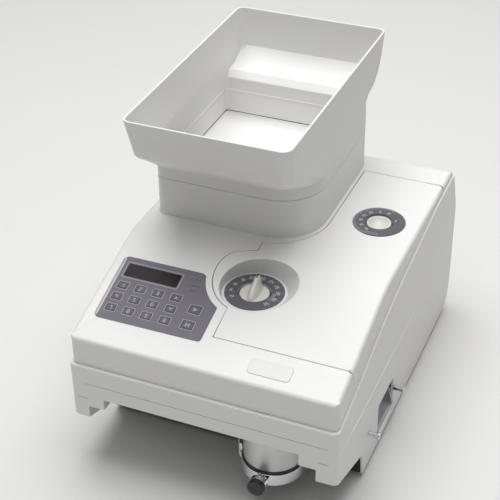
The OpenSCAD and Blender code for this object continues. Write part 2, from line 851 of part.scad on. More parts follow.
// Extrudes an outline of [x, height] points from one distance to another.
module across_x(d0, d1, pts) {
    translate([0, fy(d1), 0])
        rotate([90, 0, 0])
            linear_extrude(d1 - d0)
                polygon(pts);
}
module bag_pegs() {
    color(steel)
    for (p = [peg_front, peg_rear]) {
        rod_x(half_w - 4, half_w + peg_reach - 2, p[0], p[1], peg_r);
        rod_x(half_w + peg_reach - 2, half_w + peg_reach, p[0], p[1], peg_r + 1.2);
    }
}

// Hopper
// Each section of the outer skin: height, front distance, rear distance, right side, side lean,
// front right radius.
hopper_sections = [[rim_z, 137, 488, 57, 0, 13], [rim_z - 37, 146.5, 485.5, 54, 3.2, 13],
    [rim_z - 52, 150, 483, 52.6, 4.6, 14], [rim_z - 58, 156, 477, 52.6, 4.6, 17],
    [rim_z - 66, 168, 462, 53, 4, 24], [rim_z - 70, 173, 440, 53, 3.6, 28],
    [rim_z - 78, 183.6, 431.5, 53, 3, 37], [rim_z - 94, 204.5, 431, 54, 1.5, 52],
    [rim_z - 102, 215.5, 431, 54, 0.5, 60],
    [collar_z + 0.2, collar_d0, collar_d1, cover_x1, 0, 60]];
hopper_foot = hopper_sections[len(hopper_sections) - 1];
function hopper_ring(s, t) =
    let(x0 = cover_x0 + s[4] + t, x1 = s[3] - t, y0 = s[1] + t, y1 = s[2] - t,
        rl = 11 - t, rr = s[5] - t, rb = 10 - t)
    concat(arc(x0 + rl, y0 + rl, rl, 180, 270, 6), arc(x1 - rr, y0 + rr, rr, 270, 360, 10),
        arc(x1 - rb, y1 - rb, rb, 0, 90, 5), arc(x0 + rb, y1 - rb, rb, 90, 180, 5));
// Stacks closed rings of points into one solid; every ring has the same number of points.
module stack(rings) {
    n = len(rings[0]);
    m = len(rings);
    points = [for (r = rings, p = r) p];
    sides = [for (j = [0:m - 2], i = [0:n - 1])
        [j * n + i, j * n + (i + 1) % n, (j + 1) * n + (i + 1) % n, (j + 1) * n + i]];
    ends = [[for (i = [n - 1:-1:0]) i], [for (i = [0:n - 1]) (m - 1) * n + i]];
    polyhedron(points, concat(sides, ends));
}
function ring_points(s, t, dz) = [for (p = hopper_ring(s, t)) [p[0], fy(p[1]), s[0] + dz]];
module hopper() {
    color(shell_white)
    difference() {
        union() {
            stack([for (s = hopper_sections) ring_points(s, 0, 0)]);
            plan(collar_plan(wall_t + 0.4), collar_z - 28, collar_z + 1);
        }
        stack(concat([ring_points(hopper_sections[0], wall_t, 1)],
            [for (i = [0:len(hopper_sections) - 2]) ring_points(hopper_sections[i], wall_t, 0)],
            [ring_points(hopper_foot, wall_t + 3.4, 4), ring_points(hopper_foot, wall_t + 3.4, -30)]));
    }
}

centred() lower_housing();
centred() base_pan();
centred() rubber_feet();
centred() top_cover();
centred() hopper();
centred() access_lid();
centred() lid_hinge_pins();
centred() size_scale_ring();
centred() thickness_scale_ring();
centred() size_knob();
centred() size_shaft();
centred() size_rail();
centred() thickness_knob();
centred() thickness_shaft();
centred() thickness_gate();
centred() keypad_overlay();
centred() display_window();
centred() indicator_lights();
centred() grid_key(0);  // key_1
centred() grid_key(1);  // key_2
centred() grid_key(2);  // key_3
centred() grid_key(3);  // key_4
centred() grid_key(4);  // key_5
centred() grid_key(5);  // key_6
centred() grid_key(6);  // key_7
centred() grid_key(7);  // key_8
centred() grid_key(8);  // key_9
centred() grid_key(9);  // key_10
centred() grid_key(10);  // key_11
centred() grid_key(11);  // key_12
centred() key_start();
centred() key_clear();
centred() badge_plate();
centred() control_board();
centred() deck_plate();
centred() deck_posts();
centred() disk_bearing();
centred() disk_shaft();
centred() coin_disk();
centred() disk_pulley();
centred() feed_bowl();
centred() main_motor();
centred() motor_pulley();
centred() main_belt();
centred() coin_track();
centred() feed_belt();
centred() front_pulley();
centred() rear_pulley();
centred() feed_motor();
centred() count_sensor();
centred() power_supply();
centred() power_inlet();
centred() power_switch();
centred() bag_tube();
centred() clamp_band();
centred() clamp_jaw();
centred() clamp_pin();
centred() clamp_knob();
centred() side_chute();
centred() bag_pegs();
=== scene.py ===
import json
import math
import bpy
import bmesh
from mathutils import Vector, Matrix
from mathutils.bvhtree import BVHTree


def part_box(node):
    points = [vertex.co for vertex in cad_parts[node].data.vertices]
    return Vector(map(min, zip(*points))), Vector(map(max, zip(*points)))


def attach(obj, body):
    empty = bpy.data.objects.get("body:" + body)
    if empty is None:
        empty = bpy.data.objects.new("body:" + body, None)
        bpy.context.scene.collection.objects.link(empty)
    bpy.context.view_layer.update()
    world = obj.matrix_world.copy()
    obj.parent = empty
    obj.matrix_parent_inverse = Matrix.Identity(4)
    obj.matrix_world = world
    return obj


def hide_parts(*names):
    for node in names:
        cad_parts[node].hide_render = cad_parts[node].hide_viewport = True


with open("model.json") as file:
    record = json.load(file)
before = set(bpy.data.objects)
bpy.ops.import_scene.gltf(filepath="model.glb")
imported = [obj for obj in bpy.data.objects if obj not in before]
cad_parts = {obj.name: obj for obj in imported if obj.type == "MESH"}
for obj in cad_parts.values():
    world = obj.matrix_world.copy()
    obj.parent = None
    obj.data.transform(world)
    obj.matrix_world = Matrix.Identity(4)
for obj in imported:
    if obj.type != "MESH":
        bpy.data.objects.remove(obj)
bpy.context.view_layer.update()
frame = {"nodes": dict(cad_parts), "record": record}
nodes = frame["nodes"]
scene = bpy.context.scene
slot_of = {r["node"]: r["material_slot"] for r in frame["record"]["subparts"]}
body_of = {n: b for b, ns in frame["record"]["behaviour"]["bodies"].items() for n in ns}


# ---------------------------------------------------------------- materials
def node(nt, kind, **inputs):
    n = nt.nodes.new(kind)
    for k, v in inputs.items():
        n.inputs[k.replace("_", " ")].default_value = v
    return n


WARM = (1.0, 0.99, 0.97)  # tint at the darker end of the colour drift
GRAIN_DEPTH = 0.0003  # metres
CORNER_SHADE_REACH = 0.006  # metres from a corner, over which the painted shade reaches
CORNER_SHADE_TONE = 0.45  # the painted corner shade's colour, as a share of the base colour


def material(name, base, rough=0.5, metal=0.0, var=0.04, patch=7.0, grain=1400.0, bump=0.06,
             stretch=(1, 1, 1), rough_var=0.06, coat=0.0, specular=0.5, corner_shade=0.0):
    """A finish with drifting colour, patchy roughness, a fine grain and painted shade darkening its corners."""
    m = bpy.data.materials.new(name)
    m.use_nodes = True
    nt = m.node_tree
    link = nt.links.new
    b = nt.nodes["Principled BSDF"]
    b.inputs["Metallic"].default_value = metal
    b.inputs["Coat Weight"].default_value = coat
    b.inputs["Specular IOR Level"].default_value = specular
    co = nt.nodes.new("ShaderNodeTexCoord")
    mp = nt.nodes.new("ShaderNodeMapping")
    mp.inputs["Scale"].default_value = stretch
    link(co.outputs["Object"], mp.inputs["Vector"])
    drift = node(nt, "ShaderNodeTexNoise", Scale=patch, Detail=4.0, Roughness=0.6)
    link(co.outputs["Object"], drift.inputs["Vector"])
    mix = nt.nodes.new("ShaderNodeMix")
    mix.data_type = "RGBA"
    lo = [c * (1 - var) * t for c, t in zip(base, WARM)]
    hi = [min(1.0, c * (1 + var)) for c in base]
    mix.inputs[6].default_value = (*lo, 1)
    mix.inputs[7].default_value = (*hi, 1)
    link(drift.outputs["Fac"], mix.inputs[0])
    colour = mix.outputs[2]
    # painted shade: the base colour darkens where ambient occlusion finds a corner, crease or gap close by
    if corner_shade:
        ao = nt.nodes.new("ShaderNodeAmbientOcclusion")
        ao.samples = 6
        ao.inputs["Distance"].default_value = CORNER_SHADE_REACH
        ramp = nt.nodes.new("ShaderNodeMapRange")
        ramp.inputs["From Min"].default_value = 0.25
        ramp.inputs["From Max"].default_value = 0.8
        ramp.inputs["To Min"].default_value = corner_shade
        ramp.inputs["To Max"].default_value = 0.0
        link(ao.outputs["AO"], ramp.inputs["Value"])
        corner_shading = nt.nodes.new("ShaderNodeMix")
        corner_shading.data_type = "RGBA"
        corner_shading.inputs[7].default_value = (*[c * CORNER_SHADE_TONE for c in base], 1)
        link(ramp.outputs[0], corner_shading.inputs[0])
        link(colour, corner_shading.inputs[6])
        colour = corner_shading.outputs[2]
    link(colour, b.inputs["Base Color"])
    fine = node(nt, "ShaderNodeTexNoise", Scale=grain, Detail=3.0, Roughness=0.55)
    link(mp.outputs[0], fine.inputs["Vector"])
    wear = node(nt, "ShaderNodeTexNoise", Scale=patch * 9, Detail=5.0, Roughness=0.65)
    link(mp.outputs[0], wear.inputs["Vector"])
    rr = nt.nodes.new("ShaderNodeMapRange")
    rr.inputs["From Min"].default_value = 0.3
    rr.inputs["From Max"].default_value = 0.7
    rr.inputs["To Min"].default_value = max(0.02, rough - rough_var)
    rr.inputs["To Max"].default_value = min(1.0, rough + rough_var)
    link(wear.outputs["Fac"], rr.inputs["Value"])
    link(rr.outputs[0], b.inputs["Roughness"])
    if bump:
        bp = nt.nodes.new("ShaderNodeBump")
        bp.inputs["Strength"].default_value = bump
        bp.inputs["Distance"].default_value = GRAIN_DEPTH
        link(fine.outputs["Fac"], bp.inputs["Height"])
        link(bp.outputs[0], b.inputs["Normal"])
    return m


# the corner value on the white, hopper and knob finishes sets how far painted shade darkens their corners
M = {
    "shell_white": material("shell_white", (0.80, 0.80, 0.795), 0.5, var=0.012, bump=0.10, corner_shade=0.25),
    "hopper_white": material("hopper_white", (0.78, 0.78, 0.77), 0.5, var=0.014, bump=0.06, corner_shade=0.15),
    "black_paint": material("black_paint", (0.022, 0.022, 0.024), 0.55, var=0.2, grain=900, bump=0.35),
    "rubber_black": material("rubber_black", (0.02, 0.02, 0.02), 0.85, var=0.25, grain=700, bump=0.4),
    "panel_grey": material("panel_grey", (0.175, 0.165, 0.20), 0.6, var=0.05, grain=2200, bump=0.15,
                           specular=0.25),
    "window_black": material("window_black", (0.012, 0.009, 0.011), 0.3, var=0.2, bump=0.01, specular=0.12),
    "lamp_clear": material("lamp_clear", (0.16, 0.15, 0.2), 0.3, var=0.1, bump=0.02, coat=0.3),
    "key_dark": material("key_dark", (0.085, 0.082, 0.10), 0.5, var=0.1, grain=2500, bump=0.2),
    "badge_silver": material("badge_silver", (0.72, 0.72, 0.72), 0.4, var=0.02, grain=1800, bump=0.08),
    "scale_dark": material("scale_dark", (0.11, 0.11, 0.13), 0.42, var=0.08, grain=1500, bump=0.06),
    "knob_cream": material("knob_cream", (0.70, 0.69, 0.65), 0.35, var=0.02, bump=0.05, corner_shade=0.3),
    "bare_steel": material("bare_steel", (0.55, 0.56, 0.58), 0.3, metal=1.0, var=0.06, grain=600,
                           stretch=(1, 1, 0.05), bump=0.12),
    "chrome_bright": material("chrome_bright", (0.78, 0.78, 0.80), 0.1, metal=1.0, var=0.04, rough_var=0.05,
                              grain=500, bump=0.03),
    "cast_alu": material("cast_alu", (0.62, 0.62, 0.62), 0.42, metal=0.75, var=0.05, grain=900, bump=0.2),
    "deck_alu": material("deck_alu", (0.66, 0.67, 0.68), 0.36, metal=0.9, var=0.05, grain=500,
                         stretch=(0.05, 1, 1), bump=0.1),
    "bronze": material("bronze", (0.45, 0.29, 0.12), 0.4, metal=1.0, var=0.1, grain=1200, bump=0.15),
    "belt_rubber": material("belt_rubber", (0.025, 0.025, 0.027), 0.8, var=0.2, grain=900, bump=0.35),
    "board_green": material("board_green", (0.02, 0.14, 0.05), 0.4, var=0.2, patch=60, grain=700, bump=0.2),
    "motor_grey": material("motor_grey", (0.05, 0.05, 0.055), 0.4, metal=0.3, var=0.1, grain=800, bump=0.2),
    "black_plastic": material("black_plastic", (0.018, 0.018, 0.019), 0.38, var=0.2, grain=1500, bump=0.15),
    "zinc_plate": material("zinc_plate", (0.5, 0.51, 0.53), 0.4, metal=0.85, var=0.08, patch=25,
                           grain=400, bump=0.1),
}
M["print_light"] = material("print_light", (0.62, 0.61, 0.66), 0.5, var=0.06, grain=2500, bump=0.05)
M["print_key"] = material("print_key", (0.36, 0.35, 0.41), 0.5, var=0.06, grain=2500, bump=0.05)
M["shadow_line"] = material("shadow_line", (0.16, 0.16, 0.16), 0.7, var=0.1, grain=1500, bump=0.05)
# a white lighter than the shell's, for strips and parts whose lighter colour paints a highlight
M["highlight_white"] = material("highlight_white", (0.90, 0.90, 0.89), 0.4, var=0.01, bump=0.04)
M["shadow_gap"] = material("shadow_gap", (0.012, 0.012, 0.012), 0.7, var=0.2, grain=1500, bump=0.1)


# ---------------------------------------------------------------- mesh helpers
def corner_normals(bm, sharp):
    """Normals for every face corner, so that flat faces shade flat right up to their rounded edges."""
    bm.faces.ensure_lookup_table()
    bm.faces.index_update()
    bm.normal_update()
    region = [-1] * len(bm.faces)
    area = []
    for f in bm.faces:
        if region[f.index] >= 0:
            continue
        region[f.index] = len(area)
        total, queue = 0.0, [f]
        while queue:
            g = queue.pop()
            total += g.calc_area()
            for e in g.edges:
                for h in e.link_faces:
                    if region[h.index] < 0 and h.normal.dot(g.normal) > 0.99999:
                        region[h.index] = len(area)
                        queue.append(h)
        area.append(total)
    limit = math.cos(math.radians(sharp))
    found = {}
    for v in bm.verts:
        left = set(v.link_faces)
        while left:
            fan = [left.pop()]
            for g in fan:
                for e in g.edges:
                    if v in e.verts and len(e.link_faces) == 2:
                        for h in e.link_faces:
                            if h in left and h.normal.dot(g.normal) > limit:
                                left.discard(h)
                                fan.append(h)
            heavy = {}
            for g in fan:
                heavy.setdefault(region[g.index], g)
            n = Vector((0, 0, 0))
            for k, g in heavy.items():
                n += g.normal * area[k]
            n = n.normalized() if n.length > 0 else fan[0].normal.copy()
            for g in fan:
                found[g.index, v.index] = n
    return [found[f.index, v.index] for f in bm.faces for v in f.verts]


def new_object(name, bm, mat, body, sharp=32):
    me = bpy.data.meshes.new(name)
    bmesh.ops.triangulate(bm, faces=[f for f in bm.faces if len(f.verts) > 4], ngon_method="BEAUTY")
    bm.verts.index_update()
    normals = corner_normals(bm, sharp)
    bm.to_mesh(me)
    bm.free()
    for p in me.polygons:
        p.use_smooth = True
    me.set_sharp_from_angle(angle=math.radians(sharp))
    me.normals_split_custom_set(normals)
    me.materials.append(M[mat])
    o = bpy.data.objects.new(name, me)
    scene.collection.objects.link(o)
    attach(o, body)
    return o


FLAT = math.radians(0.4)  # faces closer than this to one plane are merged
CRISP = math.radians(38)  # edges sharper than this get the small radius
CRISP_LONG = math.radians(25)  # and these may get the large one
SMALL_STEPS, LARGE_STEPS = 3, 5
ROOM = 1.6  # bevel widths that a neighbouring edge needs


def crisp(e, limit):
    return len(e.link_faces) == 2 and e.calc_face_angle(0) > limit


def roomy(e, width):
    """True if no short edge turns off at either end, where a bevel of this width would fold over itself."""
    for v in e.verts:
        d = (e.other_vert(v).co - v.co).normalized()
        for f in v.link_edges:
            if f is e or f.calc_face_angle(0) < 0.02:
                continue
            g = f.other_vert(v).co - v.co
            if g.length < ROOM * width and g.normalized().dot(d) > -0.75:
                return False
    return True


def shell(name, source, width, big=None, big_width=0.0):
    """The CAD node's shape with its edges rounded, kept inside the node's own box.

    width is the small radius in metres, and big(edge) picks the edges that get big_width instead.
    """
    bm = bmesh.new()
    bm.from_mesh(nodes[source].data)
    bmesh.ops.remove_doubles(bm, verts=bm.verts, dist=2e-6)
    bmesh.ops.dissolve_limit(bm, angle_limit=FLAT, verts=bm.verts, edges=bm.edges)
    bmesh.ops.triangulate(bm, faces=[f for f in bm.faces if len(f.verts) > 4])
    bm.normal_update()
    if big:
        edges = [e for e in bm.edges if crisp(e, CRISP_LONG) and big(e)]
        bmesh.ops.bevel(bm, geom=edges, offset=big_width, segments=LARGE_STEPS, profile=0.5, affect="EDGES",
                        clamp_overlap=False)
        bm.normal_update()
    edges = [e for e in bm.edges if crisp(e, CRISP) and roomy(e, width)]
    if edges:
        bmesh.ops.bevel(bm, geom=edges, offset=width, segments=SMALL_STEPS, profile=0.5, affect="EDGES",
                        clamp_overlap=False)
    corners = nodes[source].bound_box
    low, high = [Vector([pick(c[i] for c in corners) for i in range(3)]) for pick in (min, max)]
    for v in bm.verts:
        v.co = Vector([min(max(c, a), b) for c, a, b in zip(v.co, low, high)])
    bmesh.ops.dissolve_degenerate(bm, dist=1e-7, edges=bm.edges)
    mat = slot_of[source]
    o = new_object(name, bm, mat, body_of[source])
    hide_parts(source)


OUTER_X = 0.157  # metres; the seats of the badge, the panel and the keys lie further in than this


def side_top(e):
    """The long upper edges of the machine's two sides."""
    if min(abs(v.co.x) for v in e.verts) < OUTER_X:
        return False
    a, b = [f.normal for f in e.link_faces]
    if abs(a.x) < abs(b.x):
        a, b = b, a
    return abs(a.x) > 0.97 and b.z > 0.9 and abs(b.x) < 0.1 and min(v.co.z for v in e.verts) > 0.17


for n, o in nodes.items():
    o.data.materials.clear()
    o.data.materials.append(M[slot_of[n]])

TOP_RADIUS = 0.005
shell("cover_shell", "top_cover", 0.0007, big=side_top, big_width=TOP_RADIUS)
shell("lid_shell", "access_lid", 0.0007, big=side_top, big_width=TOP_RADIUS)
shell("housing_shell", "lower_housing", 0.0007)
shell("hopper_shell", "hopper", 0.0009)
for n in ("thickness_knob", "clamp_knob", "clamp_band", "clamp_jaw", "bag_pegs", "badge_plate",
          "power_inlet", "power_switch", "rubber_feet", "base_pan", "side_chute", "bag_tube", "clamp_pin"):
    shell(n + "_body", n, 0.0005)
for i in [str(k) for k in range(1, 13)] + ["start", "clear"]:
    shell("cap_" + i, "key_" + i, 0.0005)

# ---------------------------------------------------------------- printed and small parts
# From here on lengths are in millimetres, unless a comment says metres.
# x is measured from the housing's middle, and d from its front face.
TILT = math.radians(16.8)  # of the sloping top
SLOPE_Z = 188.2  # height of the slope's plane at d = 0
FRONT_Y = -239.25
SHIFT_X = -7.0
INK_BASE, INK_TOP, THICK_INK, RIM_TOP = -0.04, 0.06, 0.08, 0.09  # printed marks sink in and stand out this far
PANEL_LIFT, CAP_LIFT = 0.4, 0.8  # the panel's and the key caps' faces above the slope


def plan_place(cx, cd, z):
    """Places [x, d] millimetre points round a centre on a level face at height z; h stands above it."""
    def place(x, d, h):
        return Vector((cx + x + SHIFT_X, cd + d + FRONT_Y, z + h)) / 1000
    return place


def slope_place(cx, cd, lift):
    """The same on the sloping top, lift above its plane; cd is level, and d runs up the slope."""
    def place(x, d, h):
        s, up_ = cd / math.cos(TILT) + d, h + lift
        return Vector((cx + x + SHIFT_X, FRONT_Y + s * math.cos(TILT) - up_ * math.sin(TILT),
                       SLOPE_Z + s * math.sin(TILT) + up_ * math.cos(TILT))) / 1000
    return place


def prism(bm, place, outline, h0, h1):
    """A raised shape with the given outline; its underside stays open."""
    low = [bm.verts.new(place(x, d, h0)) for x, d in outline]
    top = [bm.verts.new(place(x, d, h1)) for x, d in outline]
    bm.faces.new(top)
    for i in range(len(outline)):
        j = (i + 1) % len(outline)
        bm.faces.new((low[i], low[j], top[j], top[i]))


def frame_loop(bm, place, outer, inner, h0, h1):
    """A flat ring between two outlines with the same number of points."""
    n = len(outer)
    ring = [[bm.verts.new(place(x, d, h)) for x, d in pts] for pts, h in
            ((outer, h0), (outer, h1), (inner, h1), (inner, h0))]
    for a, b in zip(ring, ring[1:]):
        for i in range(n):
            j = (i + 1) % n
            bm.faces.new((a[i], a[j], b[j], b[i]))


def rounded(x0, d0, x1, d1, r, n=4):
    """A rectangle with corners of radius r, each in n steps."""
    pts = []
    centres = ((x1 - r, d0 + r, -90), (x1 - r, d1 - r, 0), (x0 + r, d1 - r, 90), (x0 + r, d0 + r, 180))
    for cx, cy, a0 in centres:
        for i in range(n + 1):
            a = math.radians(a0 + 90 * i / n)
            pts.append((cx + r * math.cos(a), cy + r * math.sin(a)))
    return pts


def bar(bm, place, ax, ad, bx, bd, width, h1=INK_TOP, h0=INK_BASE):
    """A straight printed stroke from a to b."""
    dx, dd = bx - ax, bd - ad
    n = math.hypot(dx, dd)
    px, pd = -dd / n * width / 2, dx / n * width / 2
    prism(bm, place, [(ax + px, ad + pd), (ax - px, ad - pd), (bx - px, bd - pd), (bx + px, bd + pd)], h0, h1)


# numerals: the strokes of each, and each stroke's two ends, in widths across and half heights up
SEGMENTS = {"0": "abcdef", "1": "bc", "2": "abged", "3": "abgcd", "4": "fgbc", "5": "afgcd", "6": "afgedc",
            "7": "abc", "8": "abcdefg", "9": "abcdfg"}
STROKES = {"a": (0, 2, 1, 2), "b": (1, 2, 1, 1), "c": (1, 1, 1, 0), "d": (0, 0, 1, 0), "e": (0, 1, 0, 0),
           "f": (0, 2, 0, 1), "g": (0, 1, 1, 1)}


def digits(bm, place, text, cx, cd, high, turn=0.0, weight=0.16):
    """Plain stroke numerals centred on (cx, cd), turned by an angle in degrees."""
    w, gap = high * 0.5, high * 0.32
    total = len(text) * w + (len(text) - 1) * gap
    c, s = math.cos(math.radians(turn)), math.sin(math.radians(turn))
    for k, ch in enumerate(text):
        x_off = -total / 2 + k * (w + gap)
        for seg in SEGMENTS[ch]:
            ax, ay, bx, by = STROKES[seg]
            p = [(x_off + ax * w, (ay - 1) * high / 2), (x_off + bx * w, (by - 1) * high / 2)]
            (ux, uy), (vx, vy) = [(cx + x * c - y * s, cd + x * s + y * c) for x, y in p]
            bar(bm, place, ux, uy, vx, vy, high * weight)


def polar(r, deg):
    return r * math.cos(math.radians(deg)), r * math.sin(math.radians(deg))


# size dial: numerals round the ring, graduations at the right and a short tick at each numeral
SIZE_DIAL, SIZE_FACE = (14.7, 134.5), 216.2
dial = plan_place(*SIZE_DIAL, SIZE_FACE)
bm = bmesh.new()
for k in range(11):
    a = 222 - 26 * k
    digits(bm, dial, str(12 + 2 * k), *polar(28.2, a), 4.4, a - 90)
    bar(bm, dial, *polar(33.6, a), *polar(35.4, a), 0.5)
for k in range(9):
    a = 8 - 4 * k
    bar(bm, dial, *polar(23.5 if k % 2 else 22.0, a), *polar(26, a), 0.4)
new_object("size_numerals", bm, "print_light", "lid")

# thickness dial: numerals and fine graduations from the rear round the left to the front, with a line
# outside them, two short lines at the front and a small block at the right
THICKNESS_DIAL, THICKNESS_FACE = (115.3, 299.8), 240.0
dial = plan_place(*THICKNESS_DIAL, THICKNESS_FACE)
bm = bmesh.new()
for k in range(41):
    a = 70 + 4.6 * k
    bar(bm, dial, *polar(29.2 if k % 5 else 27.6, a), *polar(31.6, a), 0.38)
for k in range(7):
    a = 78 + 28 * k
    digits(bm, dial, str(10 + 5 * k), *polar(23.2, a), 3.6, a - 90)
for a0, a1, r in ((250, 285, 29.5), (250, 285, 26.5), (55, 252, 32.3)):
    steps = int((a1 - a0) / 6)
    for i in range(steps):
        begin, end = a0 + (a1 - a0) * i / steps, a0 + (a1 - a0) * (i + 1.02) / steps
        bar(bm, dial, *polar(r, begin), *polar(r, end), 0.35)
prism(bm, dial, [polar(20, 22), polar(20, 27), polar(22, 27), polar(22, 22)][::-1], INK_BASE, THICK_INK)
new_object("thickness_numerals", bm, "print_light", "lid")

# keypad: a pale frame round each key, and on each cap a pale mark
COLUMNS, ROWS = (-137.8, -114.4, -91.0, -67.0), (89.0, 72.6, 56.0)
CAP, WIDE_CAP = (12.0, 9.0), (14.0, 11.0)
KEYS = {str(i + 1): (COLUMNS[i % 4], ROWS[i // 4], *CAP) for i in range(12)}
KEYS["start"] = (-38.0, 79.6, *WIDE_CAP)
KEYS["clear"] = (-38.0, 57.4, *WIDE_CAP)
NUMBERED = {"1": "1", "2": "2", "3": "3", "5": "4", "6": "5", "7": "6",
            "9": "7", "10": "8", "11": "9", "12": "0"}


def grown(wide, long, margin, r):
    """The outline of a key cap, larger by the margin all round."""
    return rounded(-wide / 2 - margin, -long / 2 - margin, wide / 2 + margin, long / 2 + margin, r)


frames = bmesh.new()
for name, (kx, kd, kw, kl) in KEYS.items():
    face = slope_place(kx, kd, PANEL_LIFT)
    frame_loop(frames, face, grown(kw, kl, 1.5, 1.6), grown(kw, kl, 0.7, 1.0), INK_BASE, RIM_TOP)
    top = slope_place(kx, kd, CAP_LIFT)
    mark = bmesh.new()
    if name in NUMBERED:
        digits(mark, top, NUMBERED[name], 0, 0, 4.6, weight=0.26)
    elif name == "4":
        prism(mark, top, [(-2.4, -1.6), (2.4, -1.6), (0, 2.2)], INK_BASE, INK_TOP)
    elif name == "8":
        prism(mark, top, [(-2.4, 1.8), (0, -2.0), (2.4, 1.8)], INK_BASE, INK_TOP)
    elif name == "start":
        prism(mark, top, [(-2.2, -3.0), (3.0, 0), (-2.2, 3.0)], INK_BASE, INK_TOP)
    else:
        bar(mark, top, -2.0, -2.8, -2.0, 2.8, 1.6)
        bar(mark, top, 2.0, -2.8, 2.0, 2.8, 1.6)
        bar(mark, top, -2.0, 0, 2.0, 0, 1.2)
    new_object("mark_" + name, mark, "print_key", body_of["key_" + name])
# the frame round the display window
face = slope_place(0, 0, PANEL_LIFT)
frame_loop(frames, face, rounded(-146.2, 104.6, -71.3, 128.8, 1.2),
           rounded(-145.2, 105.6, -72.3, 127.8, 0.8), INK_BASE, RIM_TOP)
new_object("key_frames", frames, "print_key", "machine")

# two dashes beside each lamp
labels = bmesh.new()
for kd in (120.0, 111.0, 104.0):
    face = slope_place(-60.5, kd, PANEL_LIFT)
    bar(labels, face, 4.6, 0.0, 8.4, 0.0, 1.7, THICK_INK)
    bar(labels, face, 10.0, 0.0, 12.4, 0.0, 1.4, THICK_INK)
new_object("lamp_labels", labels, "key_dark", "machine")


# ---------------------------------------------------------------- lines and liner on the upright faces
def upright(side, at):
    """Places [along, z] points on the front or the right face, which stands at the given metres."""
    def place(u, z, h):
        if side == "front":
            return Vector(((u + SHIFT_X) / 1000, at - h / 1000, z / 1000))
        return Vector((at + h / 1000, (u + FRONT_Y) / 1000, z / 1000))
    return place


low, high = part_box("lower_housing")
front = upright("front", low[1])
GROOVE_Z, GROOVE_HIGHLIGHT_Z, STEP_Z = 127.2, 126.5, 104.2
# dark strips of painted shade in the groove and at the step over each foot
bm = bmesh.new()
bar(bm, front, -148.5, GROOVE_Z, 158, GROOVE_Z, 0.55)
bar(bm, front, -160, STEP_Z, -147, STEP_Z, 0.5)
bar(bm, front, 147, STEP_Z, 160, STEP_Z, 0.5)
new_object("front_groove", bm, "shadow_line", "machine")
# a strip lighter than the shell just under the groove: painted highlight on the groove's lower lip
bm = bmesh.new()
bar(bm, front, -148.5, GROOVE_HIGHLIGHT_Z, 158, GROOVE_HIGHLIGHT_Z, 0.7)
new_object("front_groove_highlight", bm, "highlight_white", "machine")

# a strip behind the front seam, which hides the bag tube's flange
SEAM_LOW, SEAM_TOP = 149.8, 151.5
bm = bmesh.new()
prism(bm, front, [(32, SEAM_LOW), (122, SEAM_LOW), (122, SEAM_TOP), (32, SEAM_TOP)], -5.4, -2.2)
new_object("seam_liner", bm, "shell_white", "machine")

# a bead along the right side, which fades out at both ends; it is coloured lighter than the shell as a painted
# highlight
BEAD_STEPS, BEAD_START, BEAD_LENGTH, BEAD_Z = 24, 9, 297, 117
side = upright("right", high[0])
bm = bmesh.new()
PROFILE = [(-1.0, -0.2), (-0.85, 0.5), (-0.45, 0.85), (0.0, 1.0), (0.45, 0.85), (0.85, 0.5), (1.0, -0.2)]
rows = []
for k in range(BEAD_STEPS + 1):
    t = k / BEAD_STEPS
    d = BEAD_START + BEAD_LENGTH * t
    swell = min(1.0, 6 * t, 2.5 * (1 - t) + 0.02)
    rows.append([bm.verts.new(side(d, BEAD_Z + z, h * swell)) for z, h in PROFILE])
for a, b in zip(rows, rows[1:]):
    for i in range(len(PROFILE) - 1):
        bm.faces.new((a[i], b[i], b[i + 1], a[i + 1]))
new_object("side_bead", bm, "highlight_white", "machine")

# the flap below the side outlet, coloured lighter than the shell as a painted highlight
flap = bmesh.new()
prism(flap, side, rounded(154, 17.5, 201, 26.5, 2.5), -0.2, 1.4)
new_object("outlet_flap", flap, "highlight_white", "machine")

# ---------------------------------------------------------------- size knob
low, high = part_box("size_knob")
mid = Vector([(a + b) / 2 for a, b in zip(low, high)])
KNOB_R = 18.4
KNOB_FOOT, KNOB_FACE = 209.4, 215.0
KNOB_STEPS = 48
KNOB_TURN = math.radians(3)
KNOB_EDGE = ((KNOB_R, KNOB_FOOT), (KNOB_R, KNOB_FACE - 1.2), (KNOB_R - 0.4, KNOB_FACE - 0.4),
             (KNOB_R - 1.4, KNOB_FACE))
# the grip ridge across the disk: its height at points along it
RIDGE = [(-17.2, 0.2), (-16.2, 2.5), (-12, 6.0), (-4, 11.0), (4, 15.0), (9, 16.6), (13, 16.4),
         (15.4, 14.6), (16.8, 11.0), (17.2, 0.2)]
bm = bmesh.new()
rings = []
for r, z in KNOB_EDGE:
    turns = [math.tau * i / KNOB_STEPS for i in range(KNOB_STEPS)]
    rings.append([bm.verts.new((mid.x + r / 1000 * math.cos(t), mid.y + r / 1000 * math.sin(t), z / 1000))
                  for t in turns])
for a, b in zip(rings, rings[1:]):
    for i in range(KNOB_STEPS):
        j = (i + 1) % KNOB_STEPS
        bm.faces.new((a[i], a[j], b[j], b[i]))
bm.faces.new(rings[-1])
bm.faces.new(rings[0][::-1])
rows = []
for u, tall in RIDGE:
    wide = 7.6 * math.sqrt(max(0.1, 1 - (u / 19.5) ** 2))
    slim = 2.4 if tall > 3 else wide * 0.7
    row = []
    section = ((-wide, -0.3), (-wide * 0.72 - slim * 0.1, tall * 0.45), (-slim, tall * 0.93),
               (-slim * 0.5, tall), (slim * 0.5, tall), (slim, tall * 0.93),
               (wide * 0.72 + slim * 0.1, tall * 0.45), (wide, -0.3))
    for across, up_ in section:
        x = across * math.cos(KNOB_TURN) - u * math.sin(KNOB_TURN)
        y = across * math.sin(KNOB_TURN) + u * math.cos(KNOB_TURN)
        row.append(bm.verts.new((mid.x + x / 1000, mid.y + y / 1000, (KNOB_FACE + up_) / 1000)))
    rows.append(row)
